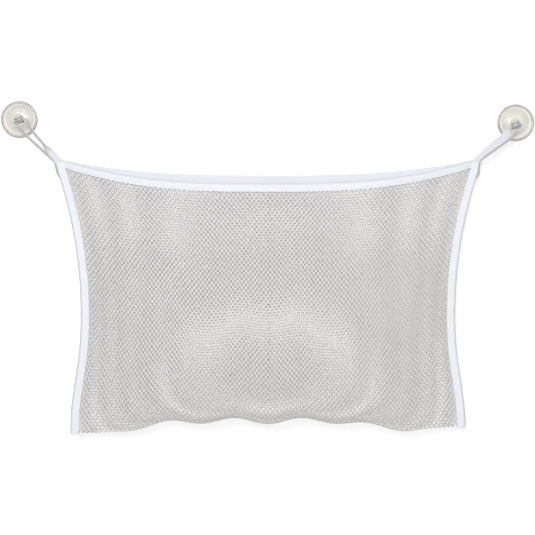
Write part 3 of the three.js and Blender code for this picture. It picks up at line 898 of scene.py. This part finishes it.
LOOP_STITCH_DIP = 0.10
# Painted shade on the loop's edges and fold: full where the tape turns on edge, less where it lies flat, none
# at the hole.
LOOP_EDGE = 0.0016
LOOP_FLAT_SHADE = 0.15
LOOP_SHADE_REACH = 0.008
LOOP_STEPS = 190
LOOP_SPAN_STEPS = 24
LOOP_FOLD_POINTS = 6
LOOP_WHITE = (0.80, 0.795, 0.84, 1)
LOOP_SHADE = (0.69, 0.685, 0.725, 1)
# The colour of the loop's painted shade.
LOOP_EDGE_SHADE = (0.47, 0.47, 0.46, 1)
LOOPS = {
    "left": {
        "sign": -1, "shift": -0.0013, "lift": 0.0031, "pull": (0.0026, -0.0025), "tilt": math.radians(16),
        "gather": 0.014, "turn": (math.radians(90), math.radians(90)), "bow": (0.0, 0.0020),
        "inset": -0.0004, "hug": (-0.0006, 0.0002), "tail": 0.012,
    },
    "right": {
        "sign": 1, "shift": 0.0004, "lift": -0.0005, "pull": (-0.0034, -0.0045), "tilt": math.radians(18),
        "gather": 0.006, "turn": (math.radians(88), math.radians(8)), "bow": (-0.0010, 0.0036),
        "inset": 0.0009, "hug": (-0.0026, 0.0008), "tail": 0.013,
    },
}
loop_finish = finish_named(
    "woven_loop_tape", lambda graph: woven_tape(graph, LOOP_WHITE, LOOP_SHADE, LOOP_EDGE_SHADE))


def smooth_line(points, count):
    """Evenly spaced points on a smooth curve through the given ones."""
    knots = [0.0]
    for a, b in zip(points, points[1:]):
        knots.append(knots[-1] + (b - a).length ** 0.5)
    points = [points[0] * 2 - points[1], *points, points[-1] * 2 - points[-2]]
    knots = [2 * knots[0] - knots[1], *knots, 2 * knots[-1] - knots[-2]]
    fine = []
    for i in range(1, len(points) - 2):
        k0, k1, k2, k3 = knots[i - 1:i + 3]
        p0, p1, p2, p3 = points[i - 1:i + 3]
        for t in np.linspace(k1, k2, LOOP_SPAN_STEPS, endpoint=i == len(points) - 3):
            a1 = p0.lerp(p1, (t - k0) / (k1 - k0))
            a2 = p1.lerp(p2, (t - k1) / (k2 - k1))
            a3 = p2.lerp(p3, (t - k2) / (k3 - k2))
            b1 = a1.lerp(a2, (t - k0) / (k2 - k0))
            b2 = a2.lerp(a3, (t - k1) / (k3 - k1))
            fine.append(b1.lerp(b2, (t - k1) / (k2 - k1)))
    line = np.array([tuple(p) for p in fine])
    run = np.concatenate(([0], np.cumsum(np.linalg.norm(np.diff(line, axis=0), axis=1))))
    even = np.linspace(0, run[-1], count)
    return [Vector(p) for p in np.stack([np.interp(even, run, line[:, k]) for k in range(3)], axis=1)]


def loop_leg(sign, hole, corner, mouth, bow):
    """The points of one leg, from its sewn end to the mouth of the cross hole that it goes in by.
    It bows by the given amount toward the other leg where it leaves the head."""
    leave = corner[-1] + Vector((sign * math.sin(LOOP_LEAN), 0, math.cos(LOOP_LEAN))) * LOOP_SEWN_RUN
    heading = math.atan2(leave.z - hole.z, leave.x - hole.x)
    swing = (heading - mouth + math.pi) % (2 * math.pi) - math.pi

    def at_head(angle, radius):
        return hole + Vector((math.cos(angle), 0, math.sin(angle))) * radius
    wrap = max(0.0, abs(swing) - math.pi / 2)
    bends = math.ceil(wrap / LOOP_BEND_STEP)
    round_head = [at_head(mouth + math.copysign(wrap * k / max(1, bends), swing), LOOP_REACH)
                  for k in range(bends, -1, -1)]
    aside = Vector((-math.sin(heading), 0, math.cos(heading))) * math.copysign(1, swing) * bow
    near = round_head[0].lerp(leave, LOOP_NEAR_HEAD) + aside
    half_way = round_head[0].lerp(leave, LOOP_HALF_WAY) + aside * LOOP_BOW_HALF_WAY
    return [*corner, leave, half_way, near, *round_head, at_head(mouth, HOLE_RADIUS)]


def loop_section(width, thickness):
    """Outline of the flat folded tape: one rounded fold and one edge drawn in by its stitches."""
    w, t = width / 2, thickness / 2
    fold = [(-w + t - t * math.sin(a), -t * math.cos(a)) for a in np.linspace(0, math.pi, LOOP_FOLD_POINTS)]
    flat = []
    for k in (0.3, 0.6, LOOP_STITCH_AT, 0.84):
        dip = LOOP_STITCH_DIP * math.exp(-((k - LOOP_STITCH_AT) / LOOP_STITCH_WIDTH) ** 2)
        flat.append((lerp(-w + t, w, k), t * (1 - dip)))
    edge = [(w - 0.2 * t, t * 0.85), (w, t * 0.45), (w, -t * 0.45), (w - 0.2 * t, -t * 0.85)]
    return fold + flat + edge + [(a, -b) for a, b in reversed(flat)]


def hanging_loop(name, loop):
    sign = loop["sign"]
    hole = Vector((
        sign * CUP_X + loop["shift"] + loop["pull"][0], -SEAM_DEPTH, loop["lift"] + loop["pull"][1]))
    tail_top = CORNER_Z - LOOP_TAIL_DROP
    tail_low = tail_top - loop["tail"]
    outer_end = [Vector((sign * (outer_half_width(z) + hug), seam_y(z), z)) for z, hug in (
        (tail_low - LOOP_TAIL_TAPER, LOOP_TAIL_HUG), (tail_low, loop["hug"][1]), (tail_top, loop["hug"][0]))]
    inner_x = TOP_WIDTH / 2 - LOOP_SEWN_WIDTH / 2 - SEWN_GAP - loop["inset"]
    inner_y = seam_y(CORNER_Z) - LOOP_STACK
    inner_end = [Vector((sign * (inner_x - sunk * math.tan(LOOP_LEAN)), inner_y, CORNER_Z - sunk))
                 for sunk in LOOP_SEWN_DEPTHS]
    toward_bag = loop["tilt"] if sign < 0 else loop["tilt"] + math.pi
    outer_leg = loop_leg(sign, hole, outer_end, toward_bag + math.pi, loop["bow"][0])
    inner_leg = loop_leg(sign, hole, inner_end, toward_bag, loop["bow"][1])
    line = smooth_line([*outer_leg, hole, *reversed(inner_leg)], LOOP_STEPS)
    at_hole = min(range(LOOP_STEPS), key=lambda i: (line[i] - hole).length)
    # Which points of the section lie at its edges and fold, where the painted shade goes.
    edges = [1 - ease((LOOP_TAPE[0] / 2 - abs(w)) / LOOP_EDGE) for w, _ in loop_section(*LOOP_TAPE)]
    rings = []
    worn = []
    for i, point in enumerate(line):
        along = (line[min(i + 1, LOOP_STEPS - 1)] - line[max(i - 1, 0)]).normalized()
        beside = along.cross(Vector((0, 1, 0))).normalized()
        from_hole = (point - hole).length
        above = point.z - CORNER_Z
        outer = i < at_hole
        gathered = ease(1 - (from_hole - HEAD_RADIUS) / loop["gather"])
        turn = lerp(loop["turn"][0 if outer else 1], math.pi / 2, gathered)
        if not outer:
            turn *= ease((above - LOOP_SEWN_RUN / 2) / LOOP_TWIST)
        across = beside * math.cos(turn) + Vector((0, 1, 0)) * math.sin(turn)
        proud = along.cross(across)
        flat = ease((from_hole - LOOP_REACH) / loop["gather"])
        width = lerp(LOOP_GATHER[0], LOOP_TAPE[0], flat)
        thickness = lerp(LOOP_GATHER[1], LOOP_TAPE[1], flat)
        if outer:
            width = lerp(LOOP_TAIL_WIDTH, width, ease(above / LOOP_WIDEN_OUTER))
            from_tip = point.z - tail_low + LOOP_TAIL_TAPER
            thickness *= lerp(LOOP_TAIL_THINNED, 1.0, ease(from_tip / LOOP_TAIL_TAPER))
        else:
            width = lerp(LOOP_SEWN_WIDTH, width, ease(above / LOOP_WIDEN_INNER))
        rings.append([point + across * w + proud * n for w, n in loop_section(width, thickness)])
        # Painted shade, scaled by how far the tape turns on edge and faded out toward the hole.
        on_edge = lerp(LOOP_FLAT_SHADE, 1.0, math.sin(turn) ** 2)
        shown = ease((from_hole - HOLE_RADIUS) / LOOP_SHADE_REACH) * on_edge
        worn.append([edge * shown for edge in edges])
    piece = loft(name, rings, loop_finish, worn)
    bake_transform(piece)
    return piece


for side, loop in LOOPS.items():
    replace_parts(hanging_loop(f"{side}_loop_tape", loop), f"{side}_hanging_loop")


# The bartacks: a bar of close zigzag stitches across the end of each loop, which sews it to the corner.
# The same white thread as the seams, laid side by side.
BARTACK_HEIGHT = 0.0026
BARTACK_PITCH = 0.00052
BARTACK_DROP = 0.0022
BARTACK_TURN = math.radians(80)
BARTACK_THREAD = THREAD_THICKNESS * 1.2
BARTACK_POINTS = 24

bar_z = CORNER_Z - BARTACK_DROP
bar_lift = max(side_thickness(bar_z) / 2, LOOP_STACK + LOOP_TAPE[1] / 2)
bar_reach = np.linspace(-LOOP_SEWN_WIDTH / 2, LOOP_SEWN_WIDTH / 2, BARTACK_POINTS)
for side, sign in (("left", -1), ("right", 1)):
    middle_x = sign * (TOP_WIDTH / 2 - LOOP_SEWN_WIDTH / 2 - SEWN_GAP)
    bars = []
    for face in (-1, 1):
        bar_y = seam_y(bar_z) + face * bar_lift
        bars.append(([Vector((middle_x + dx, bar_y, bar_z)) for dx in bar_reach], (0, face, 0)))
    bartack = sewn(
        f"{side}_bartack_stitches", bars, BARTACK_PITCH, BARTACK_HEIGHT, BARTACK_THREAD, BARTACK_TURN)
    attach(bartack, "bag")
    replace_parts(bartack, f"{side}_corner_bartack")


# The suction cups: one moulding each of soft clear vinyl, with a thin dish, a rolled rim and a domed head.
# The tape runs through a cross hole in the head. Each cup was pressed on in its own place, its hole at its
# own angle, and the weight of the bag pulls the soft head a little toward the corner.
CUP_RADIUS = 0.020
CUP_LIP = 0.0018
CUP_RIM_WIDTH = 0.003
CUP_RIM_THICKNESS = 0.0013
CUP_RIM_STEP = 0.0005
CUP_BEAD_GAP = 0.0003
CUP_BEAD_HEIGHT = 0.0008
CUP_BEAD_FOOT = 0.72
CUP_BEAD_SHARE = 0.93
CUP_BEAD_TURN = (0.15, math.pi * 0.93)
CUP_EDGE = ((0.0001, 0.6), (0.0, 0.3), (0.0002, 0.0))
CUP_HOLLOW = 0.0062
CUP_HOLLOW_CURVE = 3.2
CUP_DISH_HEIGHT = 0.009
CUP_DISH_CURVE = 0.9
CUP_DISH_FROM = 0.04
CUP_FILLET = 0.0011
CUP_FILLET_RISE = 0.8
CUP_SEGMENTS = 96
CUP_DOME_POINTS = 15
CUP_FILLET_POINTS = 6
CUP_DISH_POINTS = 18
CUP_BEAD_POINTS = 9
CUP_HOLLOW_POINTS = 18
CUP_HOLE_SEGMENTS = 48
CUP_SHARP_ANGLE = math.radians(50)
CUP_BENDS_FROM = 0.004
# Painted shade in the clear vinyl: a dark ring at the rim bead and a darker head, where refraction would
# darken them. The clear lip is shifted outward and down, which paints a lit crescent; the dish keeps the
# vinyl's own tint.
CUP_SHADE_RING = 0.0192
CUP_SHADE_RING_WIDTH = 0.0010
CUP_HEAD_SHADE = 0.42
CUP_HEAD_FADE = 0.003
CUP_DISH_DENSITY = 0.32
CUP_LIP_CLEARED = 0.29
CUP_LIP_FROM = 0.0142
CUP_LIP_FADE = 0.0016
CUP_LIT_CRESCENT_SHIFT = 0.0011
VINYL_CLEAR = (0.87, 0.86, 0.815, 1)
VINYL_TINT_AND_SHADE = (0.25, 0.25, 0.24, 1)


def clear_vinyl(graph):
    place = graph.add("ShaderNodeTexCoord").output("Object")
    cloud = graph.add("ShaderNodeTexNoise", None, {"Vector": place, "Scale": 130.0, "Detail": 3.0})
    scuffs = graph.add("ShaderNodeTexNoise", None, {"Vector": place, "Scale": 900.0, "Detail": 3.0})
    # The colour runs from clear toward dark grey by an attribute on the points: the dish's own tint, and
    # painted shade at the rim ring and head.
    dense = graph.add("ShaderNodeAttribute", {"attribute_name": "dense"}).output("Fac")
    tone = (dense + (cloud - 0.5) * 0.16).math("MINIMUM", 1.0).math("MAXIMUM", 0.0)
    bump = graph.add("ShaderNodeBump", None, {
        "Strength": 0.10, "Distance": 0.00010, "Height": cloud + scuffs * 0.2})
    return graph.add("ShaderNodeBsdfPrincipled", None, {
        "Base Color": graph.mix(tone, VINYL_CLEAR, VINYL_TINT_AND_SHADE), "Roughness": 0.06 + scuffs * 0.10,
        "Normal": bump, "Transmission Weight": 0.92, "IOR": 1.46})


vinyl_finish = finish_named("clear_soft_vinyl", clear_vinyl)


def cup_profile():
    """Half outline of a cup, from the tip of its head to the middle of its hollow.
    Each point is its radius and its depth from the wall."""
    dome = [(HEAD_RADIUS * math.sin(a), SEAM_DEPTH + HEAD_RADIUS * math.cos(a))
            for a in np.linspace(0, math.pi / 2, CUP_DOME_POINTS)]
    foot = [(HEAD_RADIUS + CUP_FILLET * (1 - math.cos(a)),
             CUP_DISH_HEIGHT + CUP_FILLET * (1 - math.sin(a)) * CUP_FILLET_RISE)
            for a in np.linspace(0, math.pi / 2, CUP_FILLET_POINTS)]
    dish_outer = CUP_RADIUS - CUP_RIM_WIDTH
    dish_foot = CUP_RIM_THICKNESS + CUP_RIM_STEP
    dish = [(lerp(HEAD_RADIUS + CUP_FILLET, dish_outer, t),
             lerp(dish_foot, CUP_DISH_HEIGHT, math.sin((1 - t) * math.pi / 2) ** CUP_DISH_CURVE))
            for t in np.linspace(CUP_DISH_FROM, 1, CUP_DISH_POINTS)]
    bead = [(dish_outer + CUP_BEAD_GAP + CUP_RIM_WIDTH * 0.5 * (1 - math.cos(a)) * CUP_BEAD_SHARE,
             CUP_RIM_THICKNESS * CUP_BEAD_FOOT + CUP_BEAD_HEIGHT * math.sin(a))
            for a in np.linspace(*CUP_BEAD_TURN, CUP_BEAD_POINTS)]
    edge = [(CUP_RADIUS - inset, CUP_RIM_THICKNESS * share) for inset, share in CUP_EDGE]
    hollow = [((CUP_RADIUS - CUP_LIP) * math.cos(a), CUP_HOLLOW * (1 - math.cos(a) ** CUP_HOLLOW_CURVE))
              for a in np.linspace(0, math.pi / 2, CUP_HOLLOW_POINTS)]
    return dome + foot + dish + bead + edge + hollow


def turned_blank(name):
    """The moulding before its cross hole is cut: the half outline turned about the cup's own axis."""
    profile = cup_profile()
    shell = bmesh.new()
    rings = []
    for radius, depth in profile[1:-1]:
        rings.append([shell.verts.new((radius * math.cos(a), -depth, radius * math.sin(a)))
                      for a in np.arange(CUP_SEGMENTS) * 2 * math.pi / CUP_SEGMENTS])
    tip = shell.verts.new((0, -profile[0][1], 0))
    well = shell.verts.new((0, -profile[-1][1], 0))
    for j in range(CUP_SEGMENTS):
        k = (j + 1) % CUP_SEGMENTS
        shell.faces.new((tip, rings[0][j], rings[0][k]))
        shell.faces.new((well, rings[-1][k], rings[-1][j]))
        for upper, lower in zip(rings, rings[1:]):
            shell.faces.new((upper[j], lower[j], lower[k], upper[k]))
    bmesh.ops.recalc_face_normals(shell, faces=shell.faces)
    mesh = bpy.data.meshes.new(name)
    shell.to_mesh(mesh)
    shell.free()
    return mesh


def with_cross_hole(name, mesh, tilt):
    """The moulding with a round hole cut across its head, at the given tilt."""
    along = Vector((math.cos(tilt), 0, math.sin(tilt)))
    drill = bmesh.new()
    bmesh.ops.create_cone(drill, cap_ends=True, segments=CUP_HOLE_SEGMENTS,
                          radius1=HOLE_RADIUS, radius2=HOLE_RADIUS, depth=HEAD_RADIUS * 3)
    drill.transform(along.to_track_quat("Z", "Y").to_matrix().to_4x4())
    bmesh.ops.translate(drill, verts=drill.verts, vec=(0, -SEAM_DEPTH, 0))
    drill_mesh = bpy.data.meshes.new("drill")
    drill.to_mesh(drill_mesh)
    drill.free()
    blank = bpy.data.objects.new("blank", mesh)
    cutter = bpy.data.objects.new("cutter", drill_mesh)
    for thing in (blank, cutter):
        scene.collection.objects.link(thing)
    cut = blank.modifiers.new("cross_hole", "BOOLEAN")
    cut.operation = "DIFFERENCE"
    cut.solver = "EXACT"
    cut.object = cutter
    drilled = bpy.data.meshes.new_from_object(blank.evaluated_get(bpy.context.evaluated_depsgraph_get()))
    for thing in (blank, cutter):
        bpy.data.objects.remove(thing)
    drilled.name = name
    return drilled


def suction_cup(name, centre, tilt, pull):
    """The finished cup: tinted in its dish, with painted shade in its head and in a ring at its rim, and
    clear in the thin lip between, shifted so that it paints a lit crescent on its lower outer side.
    Its head is pulled aside by the given amount."""
    mesh = with_cross_hole(name, turned_blank(name), tilt)
    outward = math.copysign(1, centre[0])
    dense = []
    for vertex in mesh.vertices:
        radius, depth = math.hypot(vertex.co.x, vertex.co.z), -vertex.co.y
        # Painted shade: a dark ring at the rim and a darker head, as refraction would show them.
        ring = math.exp(-((radius - CUP_SHADE_RING) / CUP_SHADE_RING_WIDTH) ** 2)
        head_shade = ease((depth - CUP_DISH_HEIGHT) / CUP_HEAD_FADE) * CUP_HEAD_SHADE
        # The clear lip is shifted outward and down, which paints a lit crescent on its lower outer side.
        lip_x = vertex.co.x + outward * CUP_LIT_CRESCENT_SHIFT
        lip_z = vertex.co.z - CUP_LIT_CRESCENT_SHIFT
        from_lip = math.hypot(lip_x, lip_z) - CUP_LIP_FROM
        dish = CUP_DISH_DENSITY - CUP_LIP_CLEARED * ease(from_lip / CUP_LIP_FADE)
        dense.append(max(ring, head_shade, dish))
        lean = ease((depth - CUP_BENDS_FROM) / (SEAM_DEPTH - CUP_BENDS_FROM))
        vertex.co += Vector((pull[0], 0, pull[1])) * lean
    mesh.attributes.new("dense", "FLOAT", "POINT").data.foreach_set("value", dense)
    mesh.transform(Matrix.Translation(centre))
    piece = add_piece(name, mesh, vinyl_finish)
    mesh.set_sharp_from_angle(angle=CUP_SHARP_ANGLE)
    return piece


for side, loop in LOOPS.items():
    centre = (loop["sign"] * CUP_X + loop["shift"], 0, loop["lift"])
    cup = suction_cup(f"{side}_vinyl_cup", centre, loop["tilt"], loop["pull"])
    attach(cup, "cups")
    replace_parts(cup, f"{side}_suction_cup")
